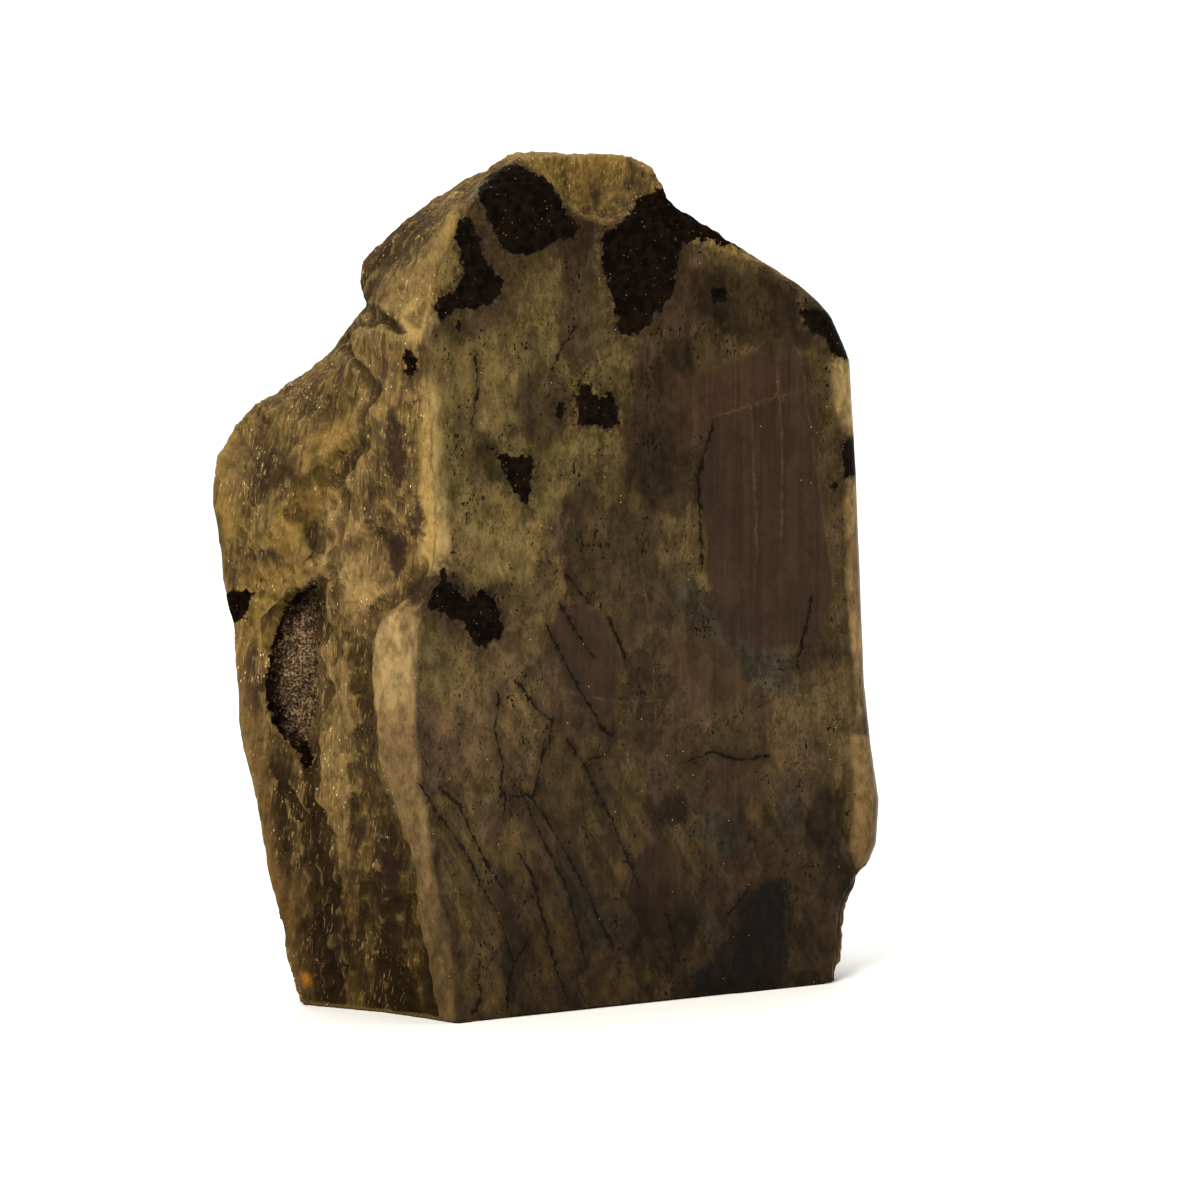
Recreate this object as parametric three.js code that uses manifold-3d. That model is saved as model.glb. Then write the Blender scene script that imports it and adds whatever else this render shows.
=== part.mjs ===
// A chunk of labradorite that stands on a sawn base. One face is ground flat and polished, and the other
// sides are as they broke. Millimetres, +Z up. The polished face looks along -Y, and the origin is the
// middle of the base.
import * as THREE from "three";
import { ImprovedNoise } from "three/addons/math/ImprovedNoise.js";
import { mergeVertices } from "three/addons/utils/BufferGeometryUtils.js";
import Module from "manifold-3d";

// Driving dimensions
const HEIGHT = 130;
const RIM_RADIUS = 4; // the polished face rolls over into the right side
const BASE_EDGE = 0.4; // the sawn base's edges are eased by this much
const ROW_HEIGHT = 2.3; // one band of facets round the stone

// The stone is drawn over upright ribs. Each rib is a list of [height, across, depth], measured from the
// polished face's lower left corner, and the stone runs straight from one point to the next. They go round
// the plan from the polished face's left edge; the bevel is a ground strip beside it, low on the left.
const FACE_LEFT = [
  [0, 0, 0],
  [14, -0.9, 0],
  [28, -4, 0],
  [46, -6.2, 0],
  [58, -6, 0],
  [76, -2.6, 0],
  [87, -3, 0],
  [103, -4.3, 0],
  [109, -2.7, 0],
  [114, -2.4, 0],
  [121.5, 1.6, 0],
  [126, 6, 0.4],
  [HEIGHT, 12.5, 1.6],
];
// The rim is where the rolled right edge ends, at the depth of its radius.
const RIM = [
  [0, 69.2],
  [12, 70.2],
  [15, 71.8],
  [18, 74.4],
  [21, 76],
  [28, 76.5],
  [37, 74.9],
  [47, 73.6],
  [81, 71.8],
  [98, 70.5],
  [105.5, 66.6],
  [110, 61],
  [116.6, 49.6],
  [122, 38.4],
  [125, 37.4],
  [128.4, 35],
  [HEIGHT, 31.5],
];
const RIGHT = [
  [0, 67, 14],
  [16, 71, 16],
  [27, 74.6, 16],
  [46, 72, 18],
  [80, 70.4, 16],
  [97, 67.4, 14],
  [104.5, 62, 13],
  [116, 46.5, 12],
  [HEIGHT, 30.5, 8],
];
const BACK_RIGHT = [
  [0, 58, 33],
  [27, 66, 38],
  [60, 64, 40],
  [88, 60, 34],
  [104, 51, 28],
  [116, 41, 22],
  [HEIGHT, 28, 14],
];
const BACK = [
  [0, 28, 42],
  [24, 27, 50],
  [60, 24, 53],
  [84, 21, 49],
  [100, 19, 40],
  [116, 19, 29],
  [HEIGHT, 21, 16],
];
const BACK_LEFT = [
  [0, -5, 36],
  [30, -8, 45],
  [62, -12, 48],
  [80, -13, 47],
  [89, -9, 43],
  [101, 0, 34],
  [116, 6, 26],
  [HEIGHT, 16, 14],
];
const LEFT = [
  [0, -14.4, 24],
  [7, -17.2, 25],
  [20, -18.2, 27],
  [38, -20.2, 30],
  [58, -21.4, 33],
  [66, -22.4, 34],
  [76, -22.8, 35],
  [83, -22.8, 35],
  [89, -20.4, 34],
  [100, -7.4, 28],
  [104, -5.8, 26],
  [106.5, -3, 24],
  [110.5, -4, 23],
  [114, -3.4, 22],
  [119, 0.4, 20],
  [124, 6.6, 17],
  [HEIGHT, 16, 11],
];
const WEDGE = [
  [0, -6.4, 13],
  [30, -9.8, 16],
  [62, -12.8, 18.5],
  [78, -13.4, 17.5],
  [88, -9.6, 12],
  [93, -10.6, 13],
  [101, -10.6, 15],
  [104, -9.6, 16],
  [106.5, -6.6, 16],
  [111, -5.6, 14.5],
  [118, -0.6, 12],
  [HEIGHT, 13, 7],
];
const GROOVE = [
  [0, -2.4, 5],
  [14, -4, 7],
  [28, -5.8, 8],
  [37, -8.2, 9.6],
  [55, -8.8, 10.6],
  [71, -6.6, 8],
  [91, -8.6, 8.4],
  [104, -9.2, 9],
  [110, -6.4, 9],
  [118, -1, 7],
  [HEIGHT, 12.6, 4],
];
const BEVEL = [
  [0, -0.6, 1],
  [14, -3.4, 3.6],
  [28, -6, 4.4],
  [37, -9.3, 6],
  [45, -10.3, 6.2],
  [55, -10.6, 6],
  [60.5, -9.7, 5.2],
  [64, -6.6, 2],
  [71, -4.6, 2],
  [82, -7, 4],
  [91, -7.9, 4],
  [104, -8.4, 4],
  [109, -4.8, 3.4],
  [114, -3.2, 2.6],
  [121.5, 1, 2],
  [HEIGHT, 12.4, 2.6],
];

// Roughness is how far a broken side wanders from its ribs: lumps, ledges, and the smaller hackle on them.
const LUMP = { size: 23, height: 3.4 };
const LEDGE = { size: 15, height: 1.1, steps: 5 };
const HACKLE = { size: 7.5, height: 1.1 };
const ROUGH_FROM = 4; // it starts at nothing on the base and is whole at this height

// Places where the broken sides stand out, or dip, over a radius.
const SWELLS = [
  { name: "dark lump under the peak", across: -3, depth: 20, height: 113, radius: 9, rise: 1.2 },
  { name: "left knuckle", across: -18, depth: 27, height: 78, radius: 12, rise: 1.6 },
  { name: "upper half of the dark pit", across: -16, depth: 22, height: 58, radius: 9, rise: -1.6 },
  { name: "lower half of the dark pit", across: -16, depth: 22, height: 46, radius: 9, rise: -1.8 },
  { name: "ridge beside the dark pit", across: -10, depth: 14, height: 50, radius: 7, rise: 1.2 },
  { name: "pillow above the bevel", across: -11, depth: 13, height: 66, radius: 7, rise: 1.3 },
];

// The stone split along flat cleavages on its far sides: a point on each, the way it looks, round from the
// back, and how far it leans over.
const CLEAVAGES = [
  { name: "back, upper right", across: 46, depth: 36, height: 96, bearing: 38, lean: 38 },
  { name: "back, lower left", across: 2, depth: 45, height: 26, bearing: -24, lean: -14 },
  { name: "right side, low", across: 70, depth: 26, height: 20, bearing: 74, lean: -12 },
  { name: "back, left shoulder", across: -4, depth: 46, height: 93, bearing: -36, lean: 40 },
];
const SPLIT_SIZE = 150; // larger than the stone

// A shell of stone broke away at the peak and left a shallow scoop above the polished face.
const SCOOP = { across: 27, depth: -14, height: 132.4, radius: 19.1, segments: 40 };

const noise = new ImprovedNoise();

// The point of a rib at a height.
function ribAt(rib, height) {
  const above = Math.max(1, rib.findIndex((point) => point[0] >= height));
  const [low, high] = [rib[above - 1], rib[above]];
  const share = (height - low[0]) / (high[0] - low[0]);
  return new THREE.Vector2(
    THREE.MathUtils.lerp(low[1], high[1], share),
    THREE.MathUtils.lerp(low[2] ?? 0, high[2] ?? 0, share),
  );
}

// The rolled right edge at an angle round it: 0 is the polished face and 90 the right side.
function rimAt(height, degrees) {
  const angle = THREE.MathUtils.degToRad(degrees);
  const side = ribAt(RIM, height);
  return new THREE.Vector2(
    side.x - RIM_RADIUS * (1 - Math.sin(angle)),
    RIM_RADIUS * (1 - Math.cos(angle)),
  );
}

// The sides in order round the plan. Each starts at its own rib, as rough as it is given there, and has
// columns of facets up to the next.
const SIDES = [
  { at: (height) => ribAt(FACE_LEFT, height), columns: 9, rough: 0 },
  { at: (height) => rimAt(height, 0), columns: 1, rough: 0 },
  { at: (height) => rimAt(height, 30), columns: 1, rough: 0 },
  { at: (height) => rimAt(height, 60), columns: 1, rough: 0 },
  { at: (height) => rimAt(height, 90), columns: 4, rough: 0.05 },
  { at: (height) => ribAt(RIGHT, height), columns: 8, rough: 0.6 },
  { at: (height) => ribAt(BACK_RIGHT, height), columns: 13, rough: 1 },
  { at: (height) => ribAt(BACK, height), columns: 12, rough: 1.1 },
  { at: (height) => ribAt(BACK_LEFT, height), columns: 6, rough: 1 },
  { at: (height) => ribAt(LEFT, height), columns: 7, rough: 0.35 },
  { at: (height) => ribAt(WEDGE, height), columns: 4, rough: 0.75 },
  { at: (height) => ribAt(GROOVE, height), columns: 2, rough: 0.35 },
  { at: (height) => ribAt(BEVEL, height), columns: 2, rough: 0.03 },
];
const COLUMNS = SIDES.reduce((sum, side) => sum + side.columns, 0);
const ROWS = Math.round(HEIGHT / ROW_HEIGHT);

// How far the broken surface stands out at a point, for a side that is fully rough.
function breakAt(point) {
  const sample = ({ size }, offset) => noise.noise(point.x / size + offset, point.y / size, point.z / size);
  const climb = LEDGE.steps * sample(LEDGE, 40);
  const share = climb - Math.floor(climb);
  const ledge = THREE.MathUtils.smoothstep(share, 0.7, 1) - share;
  return LUMP.height * sample(LUMP, 0) + LEDGE.height * ledge + HACKLE.height * sample(HACKLE, 20);
}

// How far the named swells push a point out.
function swellAt(point) {
  return SWELLS.reduce((sum, swell) => {
    const centre = new THREE.Vector3(swell.across, swell.depth, swell.height);
    const share = Math.max(0, 1 - point.distanceTo(centre) / swell.radius);
    return sum + swell.rise * share * share * (3 - 2 * share);
  }, 0);
}

// The stone's outline at a height, as COLUMNS points that run anticlockwise from above.
function outlineAt(height) {
  const ribs = SIDES.map((side) => side.at(height));
  const flat = [];
  SIDES.forEach((side, i) => {
    const next = (i + 1) % SIDES.length;
    for (let column = 0; column < side.columns; column++) {
      const share = column / side.columns;
      flat.push({
        place: ribs[i].clone().lerp(ribs[next], share),
        rough: THREE.MathUtils.lerp(side.rough, SIDES[next].rough, share),
      });
    }
  });
  const settle = Math.min(1, height / ROUGH_FROM);
  return flat.map(({ place, rough }, i) => {
    const before = flat[(i + COLUMNS - 1) % COLUMNS].place;
    const after = flat[(i + 1) % COLUMNS].place;
    const outward = new THREE.Vector2(after.y - before.y, before.x - after.x).normalize();
    const point = new THREE.Vector3(place.x, place.y, height);
    const reach = rough > 0 ? settle * (rough * breakAt(point) + swellAt(point)) : 0;
    return place.clone().addScaledVector(outward, reach);
  });
}

// The height of a row of corners. The first row is the sawn base and the second its eased edge.
function rowAt(row) {
  return row === 0 ? 0 : BASE_EDGE + ((HEIGHT - BASE_EDGE) * (row - 1)) / (ROWS - 1);
}

// A closed cylinder of ROWS by COLUMNS facets, pulled row by row onto the stone's outlines.
function roughStone() {
  const geometry = new THREE.CylinderGeometry(1, 1, 1, COLUMNS, ROWS);
  geometry.rotateX(Math.PI / 2);
  geometry.deleteAttribute("normal");
  geometry.deleteAttribute("uv");
  const closed = mergeVertices(geometry);
  const outlines = [];
  for (let row = 0; row <= ROWS; row++) {
    outlines.push(outlineAt(rowAt(row)));
  }
  const middle = (outline) =>
    outline.reduce((sum, point) => sum.add(point), new THREE.Vector2()).divideScalar(COLUMNS);
  const corner = new THREE.Vector3();
  const position = closed.getAttribute("position");
  for (let i = 0; i < position.count; i++) {
    corner.fromBufferAttribute(position, i);
    const row = Math.round((corner.z + 0.5) * ROWS);
    const turn = Math.atan2(corner.x, -corner.y) / (2 * Math.PI);
    const column = (Math.round(turn * COLUMNS) + COLUMNS) % COLUMNS;
    const onAxis = Math.hypot(corner.x, corner.y) < 0.5;
    const place = onAxis ? middle(outlines[row]) : outlines[row][column].clone();
    if (row === 0 && !onAxis) {
      place.add(middle(outlines[row]).sub(place).setLength(BASE_EDGE));
    }
    position.setXYZ(i, place.x, place.y, rowAt(row));
  }
  return closed;
}

const wasm = await Module();
wasm.setup();

// A closed geometry with merged vertices as a solid for joining and cutting, and back.
function toSolid(geometry) {
  geometry.deleteAttribute("normal");
  geometry.deleteAttribute("uv");
  const merged = mergeVertices(geometry);
  return new wasm.Manifold(
    new wasm.Mesh({
      numProp: 3,
      vertProperties: merged.getAttribute("position").array,
      triVerts: new Uint32Array(merged.index.array),
    }),
  );
}

function toGeometry(solid) {
  const { vertProperties, triVerts } = solid.getMesh();
  const geometry = new THREE.BufferGeometry();
  geometry.setAttribute("position", new THREE.BufferAttribute(vertProperties, 3));
  geometry.setIndex(new THREE.BufferAttribute(triVerts, 1));
  geometry.computeVertexNormals();
  return geometry;
}

function scoop() {
  const ball = new THREE.SphereGeometry(SCOOP.radius, SCOOP.segments, SCOOP.segments / 2);
  return ball.translate(SCOOP.across, SCOOP.depth, SCOOP.height);
}

// The block that comes away beyond a cleavage: its near face lies on the cleavage.
function splitOff({ across, depth, height, bearing, lean }) {
  const block = new THREE.BoxGeometry(SPLIT_SIZE, SPLIT_SIZE, SPLIT_SIZE);
  block.translate(0, SPLIT_SIZE / 2, 0);
  block.rotateX(THREE.MathUtils.degToRad(lean));
  block.rotateZ(THREE.MathUtils.degToRad(-bearing));
  return block.translate(across, depth, height);
}

function labradoriteChunk() {
  let solid = toSolid(roughStone()).subtract(toSolid(scoop()));
  for (const cleavage of CLEAVAGES) {
    solid = solid.subtract(toSolid(splitOff(cleavage)));
  }
  const geometry = toGeometry(solid);
  geometry.computeBoundingBox();
  const { min, max } = geometry.boundingBox;
  const stone = new THREE.Mesh(
    geometry,
    new THREE.MeshStandardMaterial({ color: 0x4d3c26, roughness: 0.45, metalness: 0 }),
  );
  stone.name = "labradorite_chunk";
  stone.position.set(-(min.x + max.x) / 2, -(min.y + max.y) / 2, -min.z);
  return stone;
}

const part = new THREE.Group();
part.add(labradoriteChunk());

export default part;
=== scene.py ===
# %% [markdown]
# A chunk of rough labradorite, 130 mm tall, that stands on a sawn base. One face is ground flat and
# polished; the other sides are as they broke. The solid stone comes from the frame, in metres, and this
# lesson gives it its surface: the hackle of the broken sides, the dark crystals, the colours and the
# cracks.

import math
from types import SimpleNamespace

import bpy
import numpy as np
from mathutils import Matrix, Quaternion, Vector


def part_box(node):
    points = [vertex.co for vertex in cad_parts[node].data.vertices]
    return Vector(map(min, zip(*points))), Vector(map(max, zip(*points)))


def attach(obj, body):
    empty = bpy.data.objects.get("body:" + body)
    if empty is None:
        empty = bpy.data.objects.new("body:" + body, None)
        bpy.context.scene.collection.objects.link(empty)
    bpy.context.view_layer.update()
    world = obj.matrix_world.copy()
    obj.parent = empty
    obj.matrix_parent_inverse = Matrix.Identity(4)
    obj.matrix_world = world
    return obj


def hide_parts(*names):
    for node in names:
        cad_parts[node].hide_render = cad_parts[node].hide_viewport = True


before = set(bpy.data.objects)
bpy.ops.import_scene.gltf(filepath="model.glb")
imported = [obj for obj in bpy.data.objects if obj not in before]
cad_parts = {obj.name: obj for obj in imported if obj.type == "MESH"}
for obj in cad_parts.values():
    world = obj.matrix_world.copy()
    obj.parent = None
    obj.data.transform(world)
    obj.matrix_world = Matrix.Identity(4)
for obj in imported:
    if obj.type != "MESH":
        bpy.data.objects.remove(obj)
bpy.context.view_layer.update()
NODE = "labradorite_chunk"
MM = 0.001
low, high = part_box(NODE)
print("stone in mm:", [round(side / MM, 1) for side in high - low])

# %% [markdown]
# The camera comes first, because the marks on the stone are placed by where the photograph shows them. It
# looks at the polished face from the left, a little above the table. A long lens keeps the stone's
# upright edges upright. Its place follows from one point: the lower left corner of the polished face and
# the pixel it is on.

# %% Camera
IMAGE_SIDE = 1200
LENS = 135.0
SENSOR = 36.0
LOOKS_FROM = (math.radians(-28.5), math.radians(6.2))
CORNER_PIXEL = (455, 1024)
CORNER_DISTANCE = 0.675


def points_of(mesh):
    points = np.empty(len(mesh.vertices) * 3, np.float32)
    mesh.vertices.foreach_get("co", points)
    return points.reshape(-1, 3).astype(float)


def face_corner():
    points = points_of(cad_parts[NODE].data)
    foot = points[(points[:, 2] < 1 * MM) & (points[:, 1] < low.y + 0.01 * MM)]
    return Vector((foot[:, 0].min(), low.y, 0))


def camera_axes(azimuth, elevation):
    level = Vector((math.sin(azimuth), -math.cos(azimuth), 0))
    back = level * math.cos(elevation) + Vector((0, 0, math.sin(elevation)))
    right = Vector((math.cos(azimuth), math.sin(azimuth), 0))
    return right, back.cross(right), back


right, up, back = camera_axes(*LOOKS_FROM)
focal_pixels = LENS / SENSOR * IMAGE_SIDE
aside = (CORNER_PIXEL[0] - IMAGE_SIDE / 2) / focal_pixels * CORNER_DISTANCE
below = (CORNER_PIXEL[1] - IMAGE_SIDE / 2) / focal_pixels * CORNER_DISTANCE
eye = face_corner() + back * CORNER_DISTANCE - right * aside + up * below

bpy.ops.object.camera_add()
camera = bpy.context.object
camera.data.lens = LENS
camera.data.sensor_width = SENSOR
camera.matrix_world = Matrix.Translation(eye) @ Matrix((right, up, back)).transposed().to_4x4()
bpy.context.scene.camera = camera
print("camera at", [round(c, 3) for c in eye])

# %% [markdown]
# The body of the stone is a copy of the solid. Its loose triangles are merged, and a voxel remesh gives
# it an even skin of squares two thirds of a millimetre wide, fine enough to carry the hackle. A
# subdivision would keep the solid's long splinters beside the cuts, and the hackle would follow them.

# %% Body of the stone
SKIN = 0.66 * MM


def apply_modifier(piece, kind, name, **settings):
    modifier = piece.modifiers.new(name, kind)
    for key, value in settings.items():
        setattr(modifier, key, value)
    bpy.context.view_layer.objects.active = piece
    bpy.ops.object.modifier_apply(modifier=name)


bpy.ops.object.select_all(action="DESELECT")
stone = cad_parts[NODE].copy()
stone.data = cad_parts[NODE].data.copy()
stone.parent = None
stone.name = "stone"
for key in list(stone.keys()):
    del stone[key]
bpy.context.scene.collection.objects.link(stone)
stone.select_set(True)
bpy.context.view_layer.objects.active = stone
bpy.ops.object.mode_set(mode="EDIT")
bpy.ops.mesh.select_all(action="SELECT")
bpy.ops.mesh.remove_doubles(threshold=0.001 * MM)
bpy.ops.object.mode_set(mode="OBJECT")
apply_modifier(stone, "REMESH", "even skin", mode="VOXEL", voxel_size=SKIN, adaptivity=0.0)
print("stone skin:", len(stone.data.vertices), "points")

# %% [markdown]
# Where the stone is polished is read off the photograph as one outline. A point belongs to it if the
# camera sees it inside that outline and it lies no deeper than the rolled edge. All later marks are
# placed in the same way: a distance to an outline, in millimetres, less than nothing inside.

# %% Distances to outlines in the photograph
ROLL_DEPTH = 7
POLISH_WOBBLE = 3
FAR = 20.0


def to_pixels(points):
    away = points - np.array(eye)
    depth = -away @ np.array(back)
    across = IMAGE_SIDE / 2 + focal_pixels * (away @ np.array(right)) / depth
    down = IMAGE_SIDE / 2 - focal_pixels * (away @ np.array(up)) / depth
    return np.stack([across, down], 1), depth / MM


def segment_distance(at, start, end):
    start, end = np.array(start, float), np.array(end, float)
    along = end - start
    share = np.clip((at - start) @ along / (along @ along), 0, 1)
    return np.linalg.norm(at - start - share[:, None] * along, axis=1)


def outline_distance(at, outline):
    nearest = np.full(len(at), np.inf)
    inside = np.zeros(len(at), bool)
    for (x0, y0), (x1, y1) in zip(outline, outline[1:] + outline[:1]):
        nearest = np.minimum(nearest, segment_distance(at, (x0, y0), (x1, y1)))
        if y0 != y1:
            beside = at[:, 0] < (x1 - x0) * (at[:, 1] - y0) / (y1 - y0) + x0
            inside ^= ((y0 > at[:, 1]) != (y1 > at[:, 1])) & beside
    return np.where(inside, -nearest, nearest)


def smooth_step(low_edge, high_edge, values):
    share = np.clip((values - low_edge) / (high_edge - low_edge), 0, 1)
    return share * share * (3 - 2 * share)


def wobble(at, reach):
    across, down = at.T
    sway = np.sin(0.041 * down + 0.9) + 0.6 * np.sin(0.093 * down - 0.05 * across)
    sway = sway + 0.4 * np.sin(0.21 * down + 0.13 * across)
    rise = np.sin(0.047 * across + 2.1) + 0.6 * np.sin(0.088 * across + 0.06 * down)
    rise = rise + 0.4 * np.sin(0.23 * across - 0.11 * down)
    return at + reach / 2 * np.stack([sway, rise], 1)


def look_at(piece):
    points = points_of(piece.data)
    normals = np.empty(len(points) * 3, np.float32)
    piece.data.vertices.foreach_get("normal", normals)
    normals = normals.reshape(-1, 3)
    at, depth = to_pixels(points)
    return SimpleNamespace(
        points=points, normals=normals, at=at, depth=depth, facing=normals @ np.array(back),
        height=points[:, 2] / MM, behind_face=(points[:, 1] - low.y) / MM)


def mark_distance(view, outlines, reach):
    nearest = np.full(len(view.at), FAR)
    for outline in outlines:
        flat = outline_distance(view.at, outline) * pixel
        shown = view.depth[(flat < 1) & (view.facing > 0.1)]
        level = np.median(shown) if len(shown) else 0
        nearest = np.minimum(nearest, np.maximum(flat, np.abs(view.depth - level) - reach))
    return nearest


POLISHED = [
    (455, 1060), (438, 1012), (425, 932), (411, 844), (390, 788), (375, 726), (372, 660), (379, 624),
    (398, 612), (424, 600), (432, 556), (437, 520), (434, 450), (428, 390), (425, 340), (435, 298),
    (437, 266), (451, 242), (462, 211), (484, 182), (520, 158), (545, 176), (580, 215), (605, 222),
    (640, 215), (663, 226), (700, 246), (745, 258), (790, 282), (900, 320), (920, 1060),
]
pixel = CORNER_DISTANCE / focal_pixels / MM
view = look_at(stone)
polished_edge = outline_distance(wobble(view.at, POLISH_WOBBLE), POLISHED) * pixel
polished_edge = np.maximum(polished_edge, view.behind_face - ROLL_DEPTH)
print("polished points:", int((polished_edge < 0).sum()))

# %% [markdown]
# The left side broke unevenly: a block stands proud at the shoulder, a dark lens fell out and left a pit,
# and a groove runs down beside the rolled edge. Each of these forms is an outline or a path in the
# photograph, and a Displace modifier without a texture lifts or sinks the skin there, weighted so that
# its edges slope.

# %% Large forms of the broken side
WEIGHT_STEPS = 50
FORM_REACH = 14
FORM_WOBBLE = 10
ROLL_WIDTH = (2.4, 0.6)
ROLL_ABOVE = (0.5, 2.5)
ROLL_PASSES = 16
EDGE_RAMP = (0, 1.4)
BASE_KEPT = (0.2, 1.2)
FACES_CAMERA = (-0.1, 0.15)
FORMS = {
    "shoulder block": (1.1, 0.8, [
        (372, 316), (402, 318), (428, 306), (437, 262), (452, 240), (470, 190), (430, 206), (392, 244),
        (374, 266),
    ]),
    "pit": (-2.8, 1.6, [
        (312, 583), (319, 598), (319, 666), (317, 704), (309, 731), (312, 765), (299, 751), (273, 721),
        (265, 697), (268, 666), (277, 625), (292, 598),
    ]),
    "yellow hollow": (-1.8, 1.4, [
        (293, 476), (318, 462), (340, 440), (372, 440), (366, 472), (330, 486), (322, 534), (300, 556),
        (290, 520),
    ]),
    "grey hollow": (-0.9, 2.2, [(336, 548), (362, 536), (384, 548), (386, 580), (366, 596), (340, 586)]),
    "bulge": (1.4, 4.0, [(345, 400), (395, 400), (400, 520), (370, 530), (345, 510)]),
    "left facet": (-1.2, 2.4, [(222, 440), (262, 420), (296, 440), (280, 500), (240, 520), (222, 490)]),
    "above the pit": (1.0, 1.6, [(240, 530), (280, 520), (318, 560), (306, 582), (270, 600), (250, 580)]),
    "edge band": (0.6, 1.4, [
        (398, 330), (440, 330), (450, 560), (424, 556), (414, 500), (404, 480), (396, 420),
    ]),
    "low scarp": (-1.4, 0.9, [(386, 912), (412, 908), (430, 930), (446, 1040), (380, 1040)]),
    "low rib": (1.2, 1.4, [
        (316, 780), (346, 640), (362, 700), (360, 800), (372, 900), (350, 960), (334, 900),
    ]),
}
GROOVES = {
    "beside the rolled edge": (-0.9, 2.4, [
        (432, 560), (404, 590), (380, 614), (364, 650), (362, 720), (368, 790), (394, 850), (408, 930),
        (424, 1015),
    ]),
    "under the shoulder": (-1.0, 1.3, [(340, 334), (366, 326), (384, 326), (404, 330)]),
    "left of the rib": (-1.1, 1.3, [(318, 760), (314, 820), (328, 900), (330, 990)]),
    "left edge": (-0.8, 1.3, [(276, 740), (298, 810), (312, 880), (322, 950)]),
    "across the bulge": (-0.8, 1.4, [(345, 345), (372, 400), (350, 470), (330, 540), (320, 590)]),
}


def path_distance(at, path):
    return np.min([segment_distance(at, start, end) for start, end in zip(path, path[1:])], axis=0)


def weigh(piece, name, weights):
    group = piece.vertex_groups.new(name=name)
    steps = np.round(weights * WEIGHT_STEPS).astype(int)
    for step in range(1, WEIGHT_STEPS + 1):
        group.add(np.nonzero(steps == step)[0].tolist(), step / WEIGHT_STEPS, "REPLACE")


def press(piece, name, weights, lift):
    weigh(piece, name, weights)
    apply_modifier(piece, "DISPLACE", name, vertex_group=name, strength=lift * MM, mid_level=0.0)


rolled = smooth_step(*ROLL_WIDTH, np.abs(polished_edge)) * smooth_step(*ROLL_ABOVE, view.height)
weigh(stone, "edges", rolled)
apply_modifier(stone, "SMOOTH", "rolled edges", vertex_group="edges", factor=0.5, iterations=ROLL_PASSES)
rough = smooth_step(*EDGE_RAMP, polished_edge) * smooth_step(*BASE_KEPT, view.height)
near_side = rough * smooth_step(*FACES_CAMERA, view.facing)
uneven = SimpleNamespace(**{**vars(view), "at": wobble(view.at, FORM_WOBBLE)})
for name, (lift, slope, outline) in FORMS.items():
    inside = smooth_step(slope, -slope, mark_distance(uneven, [outline], FORM_REACH))
    press(stone, name, near_side * inside, lift)
for name, (lift, half_width, path) in GROOVES.items():
    press(stone, name, near_side * smooth_step(half_width, 0, path_distance(uneven.at, path) * pixel), lift)
print("forms:", len(FORMS), "grooves:", len(GROOVES))

# %% [markdown]
# Low on the right, the edge is undercut below its bulge and chipped from there down. Both corners of the
# base are eased. Each pair of limits says where a weight is nothing and where it is full.

# %% Rim and base corners
UNDER_BULGE = [(872, 874), (826, 878)]
UNDERCUT_WIDTH = (1.3, 0)
RIM_FACES_RIGHT = (0.3, 0.7)
RIM_DEPTH = (9, 6)
CHIPPED_BELOW = (21, 16)
OUTLINE_FACES_LEFT = (0.5, 0.8)
OUTLINE_EDGE_ON = (0.35, 0.1)
RIGHT_CORNER = (3.5, 0.3)
LEFT_CORNER = (6.0, 0.3)

rim = smooth_step(*RIM_FACES_RIGHT, view.normals[:, 0]) * smooth_step(*RIM_DEPTH, view.behind_face)
chipped = rim * smooth_step(*CHIPPED_BELOW, view.height)
left_outline = smooth_step(*OUTLINE_FACES_LEFT, -view.normals[:, 0])
left_outline = left_outline * smooth_step(*OUTLINE_EDGE_ON, np.abs(view.facing))
undercut = smooth_step(*UNDERCUT_WIDTH, path_distance(view.at, UNDER_BULGE) * pixel)
press(stone, "under the bulge", rim * undercut, -0.9)
press(stone, "right base corner", rim * smooth_step(*RIGHT_CORNER, view.height), -1.5)
press(stone, "left base corner", left_outline * smooth_step(*LEFT_CORNER, view.height), -1.8)
print("chipped points:", int((chipped > 0.5).sum()))

# %% [markdown]
# The broken sides carry hackle at several sizes: lumps, small steps where the mineral cleaves, sharp
# ridges and fine grain. Each is one Displace modifier with a texture, held back by a vertex group that is
# empty on the polished face and on the sawn base. The left side is fibrous, so two textures there are
# stretched upwards by an empty. The hackle is calmer near the left outline, which is smooth in the
# photograph.

# %% Hackle of the broken sides
FIBRE_LEAN = math.radians(7)
FIBRE_STRETCH = 10
FIBRES_FACE = (0.1, 0.4)
FIBRES_LEFT_OF = (410, 350)
FIBRES_BELOW = (98, 70)
CALM_BAND = (4, 24)
CALM_SHARE = 0.35
LEFT_OUTLINE = [
    (212, 440), (216, 520), (222, 600), (236, 680), (250, 760), (264, 840), (284, 930), (300, 1010),
]


def texture(name, kind, **settings):
    made = bpy.data.textures.new(name, kind)
    for key, value in settings.items():
        setattr(made, key, value)
    return made


weigh(stone, "chipped", chipped)
weigh(stone, "rough", rough)
inland = smooth_step(*CALM_BAND, path_distance(view.at, LEFT_OUTLINE))
weigh(stone, "calm outline", rough * (CALM_SHARE + (1 - CALM_SHARE) * inland))
inland = inland * smooth_step(*FIBRES_FACE, view.facing)
below_shoulder = smooth_step(*FIBRES_LEFT_OF, view.at[:, 0]) * smooth_step(*FIBRES_BELOW, view.height)
weigh(stone, "fibrous", rough * inland * below_shoulder)

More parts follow.
